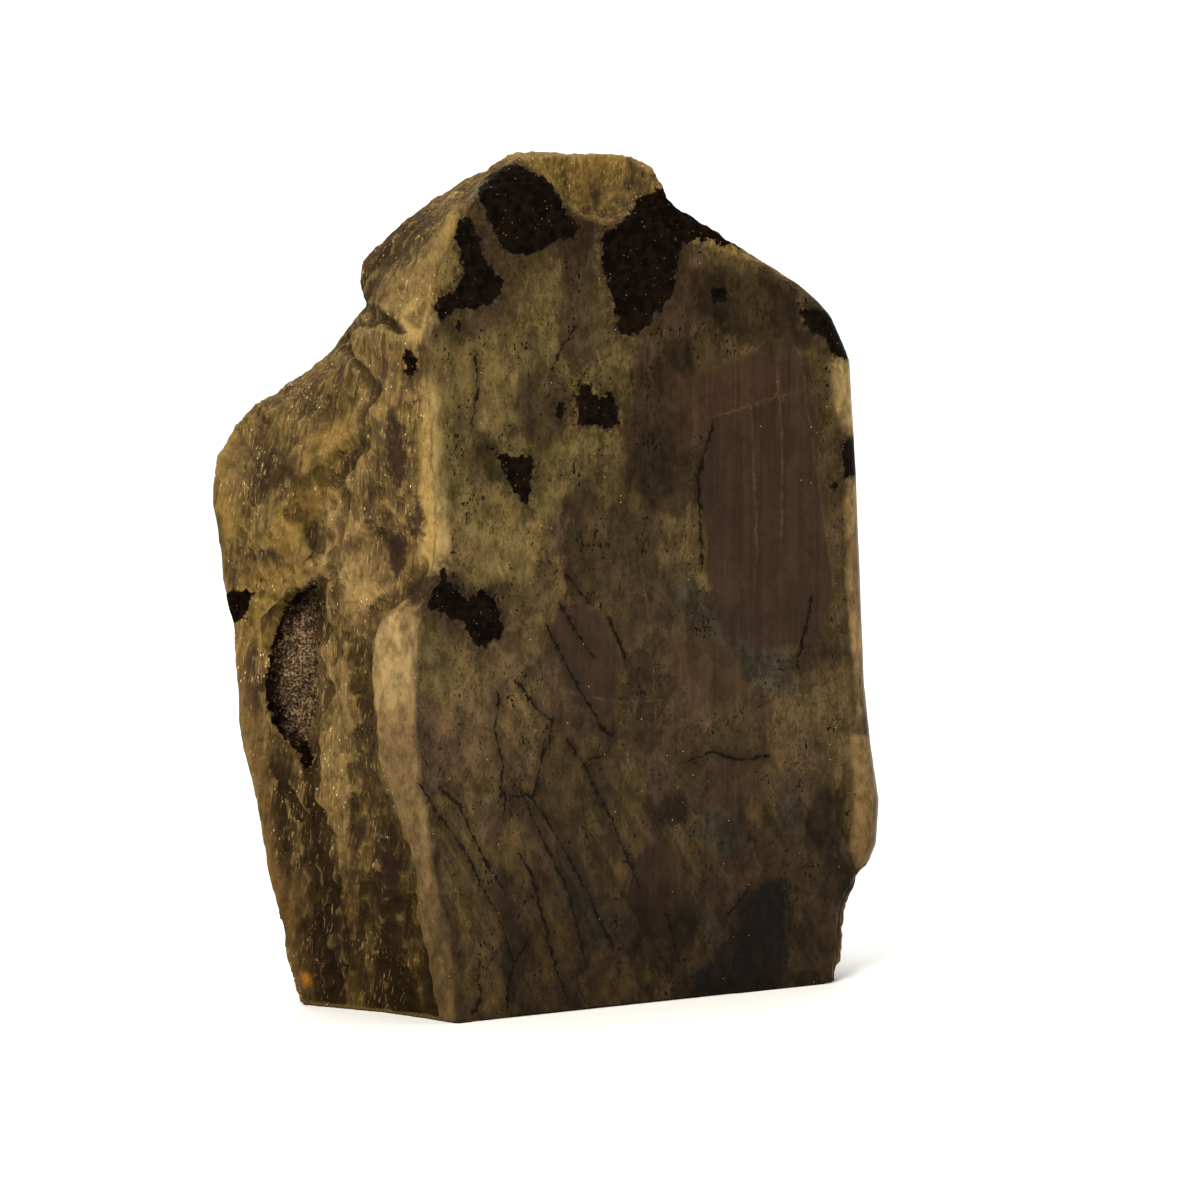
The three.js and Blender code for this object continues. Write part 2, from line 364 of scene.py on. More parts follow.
bpy.ops.object.empty_add()
upright = bpy.context.object
upright.name = "upright grain"
upright.scale = (1, 1, FIBRE_STRETCH)
upright.rotation_mode = "QUATERNION"
upright.rotation_quaternion = Quaternion(back, FIBRE_LEAN)
bpy.context.view_layer.update()
HACKLE = [
    ("lumps", "rough", 1.7, texture("lumps", "CLOUDS", noise_scale=12 * MM, noise_depth=2), None),
    ("steps", "calm outline", 0.9,
     texture("steps", "CLOUDS", noise_scale=6 * MM, noise_basis="VORONOI_F2_F1"), None),
    ("ridges", "calm outline", 0.4,
     texture("ridges", "CLOUDS", noise_scale=2.2 * MM, noise_type="HARD_NOISE"), None),
    ("splinters", "fibrous", 0.8,
     texture("splinters", "CLOUDS", noise_scale=3 * MM, noise_basis="VORONOI_F2_F1"), upright),
    ("chips", "chipped", 1.7, texture("chips", "CLOUDS", noise_scale=2.6 * MM, noise_depth=2), None),
    ("fibres", "fibrous", 0.6, texture("fibres", "CLOUDS", noise_scale=1.5 * MM, noise_depth=3), upright),
    ("grain", "calm outline", 0.3, texture("grain", "CLOUDS", noise_scale=1.1 * MM, noise_depth=2), None),
]
for name, group, reach, pattern, stretched in HACKLE:
    apply_modifier(
        stone, "DISPLACE", name, texture=pattern, vertex_group=group, strength=reach * MM, mid_level=0.5,
        texture_coords="OBJECT" if stretched else "LOCAL", texture_coords_object=stretched,
    )
bpy.data.objects.remove(upright)
stone.vertex_groups.clear()
print("hackle:", [name for name, *_ in HACKLE])

# %% [markdown]
# A voxel remesh and a smoothing leave slight waves. The polished face and the sawn base are flat on the
# real stone, so their points go back into their planes.

# %% Flat face and base
FACE_MARGIN = 0.2
FACE_SKIN = 0.3
BASE_SKIN = 0.25
SHARPEST_SMOOTHED = math.radians(40)

points = points_of(stone.data)
flat_face = (polished_edge < -FACE_MARGIN) & (view.behind_face < FACE_SKIN)
points[flat_face, 1] = low.y
points[:, 2] = np.maximum(points[:, 2], 0)
points[points[:, 2] < BASE_SKIN * MM, 2] = 0
stone.data.vertices.foreach_set("co", points.astype(np.float32).ravel())
stone.data.update()
bpy.ops.object.shade_smooth_by_angle(angle=SHARPEST_SMOOTHED)
box = [np.round(side(axis=0) / MM, 1).tolist() for side in (points.min, points.max)]
print("stone's box in mm:", box)

# %% [markdown]
# The dark crystals, the coloured patches and the cracks are drawn as outlines over the photograph and
# painted on the skin as attributes: how far each point is from the nearest outline. The material later
# roughens these distances with noise, so an edge is finer than the skin's squares. A mark reaches only so
# deep into the stone, so it wraps round an edge like a real crystal and isn't stamped on the far side.

# %% Dark crystals
DARK_REACH = 9
DARK_CRYSTALS = {
    "left of the peak": [
        (516, 161), (530, 170), (548, 178), (558, 194), (566, 212), (577, 226), (575, 238), (554, 242),
        (538, 249), (527, 257), (508, 252), (497, 239), (489, 223), (482, 204), (478, 188), (490, 174),
    ],
    "along the left edge": [
        (465, 212), (473, 225), (481, 239), (482, 255), (494, 271), (505, 281), (502, 297), (484, 305),
        (455, 310), (444, 319), (436, 316), (435, 300), (449, 294), (460, 284), (465, 268), (460, 249),
        (454, 236),
    ],
    "right of the peak": [
        (602, 233), (618, 226), (628, 215), (638, 201), (658, 188), (668, 190), (690, 205), (712, 220),
        (732, 234), (748, 250), (721, 244), (702, 239), (682, 242), (678, 258), (676, 281), (668, 303),
        (654, 313), (644, 329), (631, 338), (617, 329), (615, 310), (610, 287), (602, 268),
    ],
    "round spot": [(711, 290), (719, 286), (728, 292), (727, 301), (717, 304), (710, 299)],
    "on the right shoulder": [
        (799, 310), (817, 308), (830, 312), (850, 340), (848, 360), (830, 353), (825, 338), (809, 332),
    ],
    "star": [
        (582, 382), (590, 388), (599, 396), (612, 393), (618, 406), (618, 422), (612, 430), (599, 426),
        (586, 425), (574, 425), (578, 412), (577, 396),
    ],
    "beside the star": [(556, 404), (565, 403), (568, 411), (563, 418), (556, 415)],
    "arrowhead": [
        (489, 447), (503, 455), (516, 458), (532, 455), (532, 473), (530, 492), (529, 506), (518, 495),
        (508, 484), (505, 471),
    ],
    "on the bevel": [
        (444, 568), (450, 584), (466, 600), (481, 592), (495, 595), (502, 618), (502, 637), (489, 643),
        (478, 650), (470, 637), (466, 625), (454, 621), (442, 611), (426, 608), (433, 592), (439, 579),
    ],
    "right rim": [(842, 438), (862, 437), (862, 476), (844, 477), (842, 458)],
    "rim dot": [(830, 484), (836, 482), (838, 489), (832, 491)],
    "edge dot": [(454, 325), (460, 322), (464, 329), (458, 333)],
    "upper lens": [(406, 348), (416, 354), (417, 367), (411, 382), (405, 370)],
    "left pit": [
        (312, 583), (319, 598), (317, 632), (319, 666), (317, 704), (309, 731), (312, 765), (305, 772),
        (299, 751), (285, 741), (273, 721), (265, 697), (268, 666), (277, 625), (292, 598),
    ],
    "left edge": [
        (216, 600), (234, 590), (251, 591), (260, 580), (249, 605), (246, 619), (236, 622), (226, 614),
    ],
}


def paint(piece, name, values):
    attribute = piece.data.attributes.new(name, "FLOAT", "POINT")
    attribute.data.foreach_set("value", np.asarray(values, np.float32))


view = look_at(stone)
sawn = smooth_step(-0.8, -0.95, view.normals[:, 2]) * (view.height < 0.3)
paint(stone, "dark", mark_distance(view, DARK_CRYSTALS.values(), DARK_REACH))
polished = smooth_step(0.5, -0.3, polished_edge) * (1 - smooth_step(0.2, 0.7, chipped))
paint(stone, "polished", np.maximum(polished, 0.8 * sawn))
print("dark crystals:", len(DARK_CRYSTALS))

# %% [markdown]
# Labradorite's feldspar changes colour from patch to patch as its thin layers turn: olive at the upper
# left, a violet block with upright layers, rust, slate blue low on the right. The patches are outlines
# too, with softer edges than the crystals.

# %% Coloured patches
PATCH_REACH = 16
PATCHES = {
    "violet": [
        [
            (690, 378), (735, 360), (790, 350), (812, 356), (822, 470), (834, 590), (818, 640), (765, 650),
            (722, 632), (704, 565), (700, 480), (713, 425),
        ],
        [(560, 600), (600, 612), (622, 660), (612, 720), (575, 700), (548, 640)],
    ],
    "rust": [
        [(678, 380), (735, 362), (785, 356), (778, 396), (714, 418), (700, 450), (678, 452)],
        [(673, 640), (705, 632), (737, 650), (742, 690), (720, 712), (688, 705), (672, 675)],
        [(712, 757), (766, 752), (770, 790), (745, 808), (716, 800)],
        [(636, 850), (676, 845), (690, 900), (660, 930), (636, 900)],
    ],
    "olive": [
        [
            (440, 330), (470, 345), (520, 318), (560, 260), (600, 275), (612, 335), (640, 370), (628, 430),
            (600, 470), (560, 500), (545, 560), (510, 590), (470, 585), (440, 570), (436, 480), (430, 400),
        ],
        [(436, 262), (452, 240), (461, 262), (462, 285), (440, 298)],
        [(420, 625), (470, 655), (480, 690), (450, 700), (420, 690)],
    ],
    "slate": [
        [(735, 893), (788, 880), (798, 940), (778, 990), (735, 1003), (690, 1003), (700, 968), (728, 940)],
    ],
    "teal": [
        [(690, 600), (740, 618), (790, 640), (800, 690), (760, 690), (700, 640)],
        [(664, 575), (692, 580), (700, 618), (672, 612)],
        [(704, 800), (735, 815), (748, 850), (720, 860), (700, 830)],
        [(558, 850), (585, 862), (612, 930), (590, 950), (566, 905)],
        [(702, 915), (728, 912), (724, 942), (704, 940)],
        [(775, 790), (800, 785), (800, 830), (782, 830)],
    ],
    "mauve": [
        [(556, 262), (600, 270), (606, 345), (580, 380), (556, 345)],
        [(510, 372), (560, 366), (575, 420), (548, 452), (512, 430)],
        [(600, 500), (680, 520), (690, 620), (660, 690), (620, 640), (600, 570)],
    ],
    "smoke": [
        [(632, 366), (664, 346), (690, 400), (694, 470), (684, 512), (650, 514), (632, 470), (626, 420)],
        [(690, 262), (745, 272), (800, 300), (806, 348), (760, 350), (724, 338), (694, 310)],
        [(640, 886), (688, 890), (690, 948), (654, 988), (632, 950)],
        [(660, 340), (700, 340), (692, 392), (664, 400)],
        [(812, 800), (846, 785), (852, 840), (820, 850), (806, 830)],
        [(640, 802), (676, 796), (700, 806), (690, 826), (650, 826)],
        [(475, 432), (500, 446), (505, 480), (486, 470)],
    ],
    "straw": [
        [(424, 335), (444, 340), (452, 420), (446, 500), (456, 560), (430, 575), (420, 500), (424, 420)],
        [(455, 500), (500, 520), (540, 520), (530, 570), (480, 590), (455, 570)],
        [(458, 335), (500, 330), (520, 370), (490, 430), (462, 420)],
        [(432, 790), (470, 800), (490, 850), (500, 900), (510, 1000), (470, 1012), (457, 960), (444, 890)],
        [(510, 152), (560, 150), (628, 156), (632, 178), (600, 205), (560, 212), (540, 190)],
        [(375, 290), (400, 250), (448, 215), (460, 240), (440, 300), (400, 315)],
        [(300, 470), (325, 420), (350, 415), (345, 470), (320, 520), (290, 560), (262, 545)],
        [(215, 440), (240, 430), (235, 520), (228, 570), (216, 530)],
        [(242, 562), (300, 560), (302, 588), (282, 622), (264, 660), (248, 640)],
    ],
    "fawn": [
        [(430, 650), (500, 645), (540, 670), (556, 750), (520, 790), (470, 840), (440, 780)],
        [(690, 470), (704, 560), (690, 600), (660, 560), (664, 500)],
        [(770, 690), (850, 660), (852, 780), (800, 780), (768, 740)],
    ],
    "wine": [
        [(386, 538), (400, 534), (408, 548), (405, 570), (397, 578), (387, 562)],
        [(387, 408), (400, 420), (404, 440), (407, 480), (396, 488), (389, 460)],
        [(416, 494), (425, 514), (421, 540), (411, 534), (413, 511)],
        [(383, 828), (396, 856), (400, 904), (390, 910), (382, 877)],
        [(404, 590), (420, 578), (438, 574), (432, 596), (412, 608)],
    ],
    "chalk": [
        [(374, 304), (372, 284), (398, 252), (440, 226), (448, 246), (436, 290), (424, 314), (396, 318)],
        [(222, 452), (236, 436), (262, 430), (252, 470), (236, 500), (224, 490)],
    ],
    "pearl": [
        [(322, 500), (352, 512), (400, 556), (404, 600), (378, 616), (340, 600), (322, 556)],
    ],
    "ash": [
        [(313, 602), (320, 640), (322, 700), (310, 738), (298, 734), (282, 700), (281, 660), (294, 624)],
    ],
    "ochre": [
        [
            (226, 622), (246, 640), (262, 740), (284, 860), (304, 960), (312, 985), (300, 1000), (270, 900),
            (244, 740),
        ],
    ],
    # Painted rim light in part: the first cream outline and the first two tan outlines lie on the right rim,
    # where the rounded edge turned to the right is lighter. The other outlines are the stone's own colour.
    "cream": [
        [(828, 362), (856, 345), (862, 415), (851, 430), (838, 412)],
        [(366, 708), (364, 660), (372, 630), (392, 608), (421, 604), (417, 640), (413, 660), (413, 706)],
    ],
    "tan": [
        [(845, 480), (870, 480), (872, 700), (858, 725), (851, 640), (846, 560)],
        [(853, 736), (890, 736), (890, 880), (862, 880), (851, 850), (853, 800)],
        [
            (366, 690), (413, 690), (417, 745), (422, 795), (430, 845), (436, 880), (446, 930), (453, 975),
            (455, 1040), (430, 1040), (410, 950), (396, 860), (370, 790),
        ],
    ],
    # Painted highlights: pale strips on the rolled left edge, the top-left ridge, the right rim's top and the
    # bevel's ridge, where light catches the edges.
    "painted_edge_highlight": [
        [(421, 380), (434, 376), (440, 470), (450, 556), (436, 572), (420, 568), (416, 540), (424, 480)],
        [(398, 318), (420, 300), (440, 304), (436, 322), (420, 345), (408, 340)],
        [(836, 360), (860, 346), (864, 420), (850, 430), (839, 410)],
        [(444, 922), (451, 936), (454, 978), (449, 972)],
        [(418, 792), (424, 800), (432, 846), (426, 842)],
    ],
    "ember": [[(301, 972), (308, 974), (311, 984), (304, 988)]],
    "silk": [
        [(304, 655), (335, 636), (346, 700), (352, 790), (346, 860), (330, 870), (318, 800), (306, 720)],
        [(330, 560), (375, 590), (395, 610), (372, 640), (350, 640)],
    ],
    "umber": [
        [(246, 452), (280, 450), (296, 470), (288, 492), (256, 490)],
        [
            (340, 310), (350, 250), (390, 222), (432, 205), (440, 218), (430, 244), (410, 260), (385, 274),
            (378, 308),
        ],
        [(270, 772), (290, 760), (300, 830), (288, 880), (272, 850)],
        [
            (300, 742), (314, 742), (322, 820), (342, 880), (352, 960), (344, 1015), (316, 1015), (300, 950),
            (322, 900), (306, 820),
        ],
        [(372, 806), (394, 832), (404, 870), (410, 920), (424, 1020), (360, 1020), (372, 960), (376, 890)],
        [(422, 945), (438, 935), (445, 965), (448, 1004), (430, 1012), (418, 975)],
        [(560, 156), (568, 158), (570, 180), (566, 198), (560, 186)],
        [(592, 165), (597, 170), (594, 205), (590, 200)],
        [(634, 160), (642, 165), (646, 178), (638, 182)],
        [(530, 160), (538, 164), (540, 176), (533, 174)],
    ],
}
for name, outlines in PATCHES.items():
    paint(stone, name, mark_distance(view, outlines, PATCH_REACH))
print("patches:", {name: len(outlines) for name, outlines in PATCHES.items()})

# %% [markdown]
# A crack is thinner than the skin's squares, so two attributes carry it. One is the distance to the
# nearest crack with a sign for its two sides, which stays exact between the skin's points. The other has
# no sign and shows where that line is really a crack and not its extension. Two cracks must not lie close
# together in one pair, so they are dealt into two sets; the pale edges of the upright layers are a third.

# %% Cracks and layer edges
LINES = {
    "crack": [
        [(548, 628), (565, 663), (586, 701), (602, 728), (611, 740), (614, 722)],
        [(567, 576), (588, 602)],
        [(499, 694), (495, 732), (503, 763), (501, 786), (507, 799), (503, 814)],
        [(507, 799), (513, 794), (519, 798), (527, 794), (532, 798), (538, 776), (545, 742)],
        [(532, 798), (552, 829), (575, 868), (590, 899), (606, 933), (612, 946)],
        [(420, 786), (443, 821), (463, 848), (482, 887), (497, 914), (503, 930), (513, 961)],
        [(521, 856), (532, 876), (544, 922), (556, 968), (568, 1003)],
        [(480, 961), (478, 980), (482, 996), (474, 1011)],
        [(666, 909), (679, 963)],
        [(713, 422), (698, 479), (702, 566)],
        [(750, 886), (741, 900), (727, 915)],
        [(812, 600), (803, 640), (797, 668)],
    ],
    "second_crack": [
        [(561, 606), (578, 634), (592, 655)],
        [(610, 620), (625, 657)],
        [(521, 686), (536, 709), (552, 720), (549, 742)],
        [(526, 803), (536, 825), (555, 864), (567, 887), (577, 925), (586, 965)],
        [(567, 740), (583, 763), (598, 794), (613, 821), (623, 848), (639, 887)],
        [(590, 759), (606, 755), (611, 742)],
        [(441, 790), (459, 806), (478, 848), (494, 876), (504, 892)],
        [(530, 937), (513, 965), (508, 990), (507, 1007)],
        [(686, 762), (712, 752), (740, 760), (766, 757)],
        [(475, 352), (478, 390), (472, 425)],
        [(573, 330), (560, 352), (553, 368)],
    ],
    "layer_edge": [
        [(800, 352), (812, 440), (833, 575), (842, 650)],
        [(776, 354), (783, 450), (781, 545)],
        [(712, 418), (770, 399), (796, 392)],
        [(752, 404), (757, 560)],
        [(560, 690), (612, 702), (660, 700)],
        [(640, 560), (652, 640), (656, 720)],
        [(683, 720), (706, 724), (720, 735)],
        [(786, 900), (790, 985)],
        [(833, 792), (834, 822)],
    ],
}


def line_distances(view, paths):
    signed = np.full(len(view.at), FAR)
    for path in paths:
        for start, end in zip(path, path[1:]):
            flat = segment_distance(view.at, start, end) * pixel
            flat = np.maximum(flat, view.behind_face - ROLL_DEPTH)
            along = np.array(end, float) - start
            offset = view.at - np.array(start, float)
            side = np.where(along[0] * offset[:, 1] < along[1] * offset[:, 0], -1, 1)
            signed = np.where(flat < np.abs(signed), side * flat, signed)
    return signed


for name, paths in LINES.items():
    signed = line_distances(view, paths)
    paint(stone, name + "_side", signed)
    paint(stone, name, np.abs(signed))
print("lines:", {name: len(paths) for name, paths in LINES.items()})

# %% [markdown]
# Painted shade darkens the hollows of a broken side, and painted highlights lighten its edges. How hollow a
# point is comes
# from the skin itself: how far the point lies below the mean of its neighbours. A few steps of spreading
# find the small hollows of the hackle, many steps find the broad recesses.

# %% Hollows and edges
HOLLOW_STEPS = {"hollow": 3, "recess": 40}


def spread_to_neighbours(ends, others, values):
    count = np.bincount(ends, minlength=len(values))
    totals = [np.bincount(ends, weights=column[others], minlength=len(values)) for column in values.T]
    return np.stack(totals, 1) / count[:, None]


edges = np.empty(len(stone.data.edges) * 2, np.int32)
stone.data.edges.foreach_get("vertices", edges)
edges = edges.reshape(-1, 2)
ends, others = np.concatenate([edges, edges[:, ::-1]]).T
for name, steps in HOLLOW_STEPS.items():
    spread = view.points
    for _ in range(steps):
        spread = spread_to_neighbours(ends, others, spread)
    depth_below = np.einsum("ij,ij->i", spread - view.points, view.normals) / MM
    paint(stone, name, depth_below)
    print(name, "in mm, 5 to 95%:", np.round(np.percentile(depth_below, [5, 50, 95]), 3))
paint(stone, "unseen", smooth_step(0.15, -0.15, view.facing))

# %% [markdown]
# A material this size is easier to read as a list of calls than as a tree. Most helpers add one node and
# give back its output. An input takes a number or another node's output.

# %% Node helpers
def socket_of(tree, value, target):
    if isinstance(value, bpy.types.NodeSocket):
        tree.links.new(value, target)
    elif value is not None:
        target.default_value = value


def add_node(tree, kind, inputs=(), **settings):
    made = tree.nodes.new(kind)
    for key, value in settings.items():
        setattr(made, key, value)
    for key, value in dict(inputs).items():
        socket_of(tree, value, made.inputs[key])
    return made


def calculate(tree, operation, first, second=None, third=None):
    made = add_node(tree, "ShaderNodeMath", operation=operation)
    for place, value in enumerate((first, second, third)):
        socket_of(tree, value, made.inputs[place])
    return made.outputs[0]


def times(tree, first, second):
    return calculate(tree, "MULTIPLY", first, second)


def ramp(tree, value, start, end, low_value=0.0, high_value=1.0):
    made = add_node(tree, "ShaderNodeMapRange", interpolation_type="SMOOTHSTEP")
    for key, number in zip(("Value", "From Min", "From Max", "To Min", "To Max"),
                           (value, start, end, low_value, high_value)):
        socket_of(tree, number, made.inputs[key])
    return made.outputs["Result"]


def noise_node(tree, where, scale, detail, roughness):
    return add_node(tree, "ShaderNodeTexNoise", {
        "Vector": where, "Scale": scale, "Detail": detail, "Roughness": roughness})


def noise(tree, where, scale, detail, roughness=0.55):
    return noise_node(tree, where, scale, detail, roughness).outputs["Fac"]


def three_noises(tree, where, scale, detail, roughness):
    made = noise_node(tree, where, scale, detail, roughness)
    return made.outputs["Color"], channels(tree, made.outputs["Color"])


def channels(tree, colour):
    return add_node(tree, "ShaderNodeSeparateColor", {"Color": colour}).outputs


def stretch(tree, where, factors):
    made = add_node(tree, "ShaderNodeVectorMath", operation="MULTIPLY")
    socket_of(tree, where, made.inputs[0])
    made.inputs[1].default_value = factors
    return made.outputs[0]


def blend(tree, mask, first, second, kind="MIX"):
    made = add_node(tree, "ShaderNodeMix", data_type="RGBA", blend_type=kind, clamp_factor=True)
    for place, value in zip((0, 6, 7), (mask, first, second)):
        socket_of(tree, value, made.inputs[place])
    return made.outputs[2]


def shaded(tree, colour, factor):
    return blend(tree, 1.0, colour, factor, "MULTIPLY")


def painted(tree, name):
    return add_node(tree, "ShaderNodeAttribute", attribute_name=name).outputs["Fac"]


def new_group(name, labels):
    tree = bpy.data.node_groups.new(name, "ShaderNodeTree")
    for label in labels:
        kind = "NodeSocketVector" if label == "Where" else "NodeSocketFloat"
        tree.interface.new_socket(label, in_out="INPUT", socket_type=kind)
    tree.interface.new_socket("Mask", in_out="OUTPUT", socket_type="NodeSocketFloat")
    return tree, tree.nodes.new("NodeGroupInput").outputs, tree.nodes.new("NodeGroupOutput").inputs


def place_group(tree, group, inputs):
    made = tree.nodes.new("ShaderNodeGroup")
    made.node_tree = group
    for key, value in inputs.items():
        socket_of(tree, value, made.inputs[key])
    return made.outputs[0]


print("node helpers ready")

# %% [markdown]
# Three node groups do the shared work. "ragged mask" turns a painted distance into a mask whose edge is
# broken up by noise, "line mask" draws a thin wandering line along one, and "flecks" scatters small spots
# for the glints. They give out only masks; the colours are mixed in the material, where they can be read
# in one place.

# %% Node groups
def ragged_mask_group():
    tree, given, result = new_group("ragged mask", ["Distance", "Noise", "Wander", "Soft"])
    wander = calculate(tree, "SUBTRACT", given["Noise"], 0.5)
    wander = times(tree, wander, given["Wander"])
    edge = calculate(tree, "MULTIPLY_ADD", wander, 2.0, given["Distance"])
    inner = times(tree, given["Soft"], -1.0)
    tree.links.new(ramp(tree, edge, given["Soft"], inner), result["Mask"])
    return tree


def flecks_group():
    tree, given, result = new_group("flecks", ["Where", "Fineness", "Share", "Radius"])
    cells = add_node(tree, "ShaderNodeTexVoronoi", {"Vector": given["Where"], "Scale": given["Fineness"]})
    chosen = calculate(tree, "LESS_THAN", channels(tree, cells.outputs["Color"])["Red"], given["Share"])
    inner = times(tree, given["Radius"], 0.5)
    spot = ramp(tree, cells.outputs["Distance"], given["Radius"], inner)
    tree.links.new(times(tree, spot, chosen), result["Mask"])
    return tree


def line_mask_group():
    tree, given, result = new_group("line mask", ["Side", "Distance", "Noise", "Width"])
    wander = calculate(tree, "MULTIPLY_ADD", given["Noise"], 1.1, -0.55)
    away = calculate(tree, "ABSOLUTE", calculate(tree, "ADD", given["Side"], wander))
    near = ramp(tree, given["Distance"], 1.0, 0.5)
    tree.links.new(times(tree, ramp(tree, away, given["Width"], 0.02), near), result["Mask"])
    return tree


RAGGED = ragged_mask_group()
LINE = line_mask_group()
FLECKS = flecks_group()


def ragged(tree, name, wiggle, wander, soft):
    return place_group(tree, RAGGED, {
        "Distance": painted(tree, name), "Noise": wiggle, "Wander": wander, "Soft": soft})


def line(tree, name, wiggle, width):
    return place_group(tree, LINE, {
        "Side": painted(tree, name + "_side"), "Distance": painted(tree, name), "Noise": wiggle,
        "Width": width})


def flecks(tree, where, fineness, share, radius):
    return place_group(tree, FLECKS, {"Where": where, "Fineness": fineness, "Share": share, "Radius": radius})


print("node groups:", [group.name for group in (RAGGED, LINE, FLECKS)])

# %% [markdown]
# Each patch has a tint, given as it looks on a screen. Its row also says which noise breaks its edge, how
# far the edge wanders and how soft it is, in millimetres, and the most that the patch covers.

# %% Tints of the patches
def tint(red, green, blue):
    return tuple(((c / 255 + 0.055) / 1.055) ** 2.4 for c in (red, green, blue)) + (1,)


FACE_PATCHES = [
    ("olive", "Red", tint(86, 73, 42), 4.0, 1.2, 0.8),
    ("mauve", "Green", tint(53, 42, 28), 3.5, 1.0, 0.8),
    ("straw", "Blue", tint(108, 90, 55), 3.0, 1.0, 0.5),
    ("fawn", "Red", tint(90, 73, 47), 5.0, 1.4, 0.5),
    ("teal", "Blue", tint(50, 50, 41), 4.0, 0.8, 0.5),
    ("smoke", "Red", tint(28, 21, 13), 5.0, 1.0, 0.7),
    ("slate", "Green", tint(22, 21, 22), 3.0, 0.8, 0.85),
]
CALM_PATCHES = [
    ("violet", "Green", tint(50, 36, 27), 1.8, 0.6, 0.9),
    ("rust", "Red", tint(58, 41, 29), 3.5, 1.2, 0.6),
]
EDGE_PATCHES = [
    # On the right rim, tan and cream are partly painted rim light.
    ("tan", "Green", tint(127, 103, 67), 0.8, 0.6, 0.75),
    ("cream", "Blue", tint(136, 114, 75), 1.6, 1.2, 0.8),
    # Painted highlight on the rolled edges.
    ("painted_edge_highlight", "Red", tint(166, 142, 90), 3.5, 1.4, 0.48),
    ("umber", "Green", tint(52, 38, 20), 2.5, 1.2, 0.4),
]
SIDE_PATCHES = [
    ("straw", "Blue", tint(130, 104, 50), 3.0, 1.2, 0.6),
    ("ochre", "Green", tint(112, 84, 48), 3.0, 1.2, 0.45),
    ("silk", "Green", tint(128, 104, 64), 2.0, 1.4, 0.7),
    ("pearl", "Blue", tint(160, 131, 84), 4.0, 1.6, 0.55),
    ("chalk", "Red", tint(106, 87, 58), 3.0, 1.2, 0.6),
    ("umber", "Red", tint(46, 33, 19), 4.5, 1.8, 0.85),
    # Painted highlight on the ridges of the broken side.
    ("painted_edge_highlight", "Red", tint(176, 147, 90), 2.0, 1.0, 0.6),
    ("ember", "Blue", tint(190, 122, 44), 0.8, 0.5, 0.75),
]
LENSES = [("wine", "Red", tint(46, 31, 23), 1.2, 0.6, 0.9)]


def patched(tree, colour, patches, wiggles):
    cover = 0.0
    for name, channel, new_colour, wander, soft, most in patches:
        mask = times(tree, ragged(tree, name, wiggles[channel], wander, soft), most)
        colour = blend(tree, mask, colour, new_colour)
        cover = calculate(tree, "MAXIMUM", mask, cover)
    return colour, cover


print("tints on the face:", len(FACE_PATCHES + CALM_PATCHES + EDGE_PATCHES))

# %% [markdown]
# The polished face is a mosaic of cloudy brown grains with the patches over it. Upright layers show in
# the violet block and leaning bands low down. Cracks have a brown stain, and small black pits lie in
# swarms. Painted shade darkens the face towards its foot, and a few pale spots are painted glints.

# %% Colour of the polished face
BAND_LEAN = math.radians(32)


def mosaic(tree, where, coarse_colour):
    warped = add_node(tree, "ShaderNodeVectorMath", operation="MULTIPLY_ADD")
    for place, value in enumerate((coarse_colour, (9, 9, 9), where)):
        socket_of(tree, value, warped.inputs[place])
    cells = stretch(tree, warped.outputs[0], (0.17, 0.17, 0.1))
    grains = add_node(tree, "ShaderNodeTexVoronoi", {"Vector": cells, "Scale": 1.0})
    return channels(tree, grains.outputs["Color"])


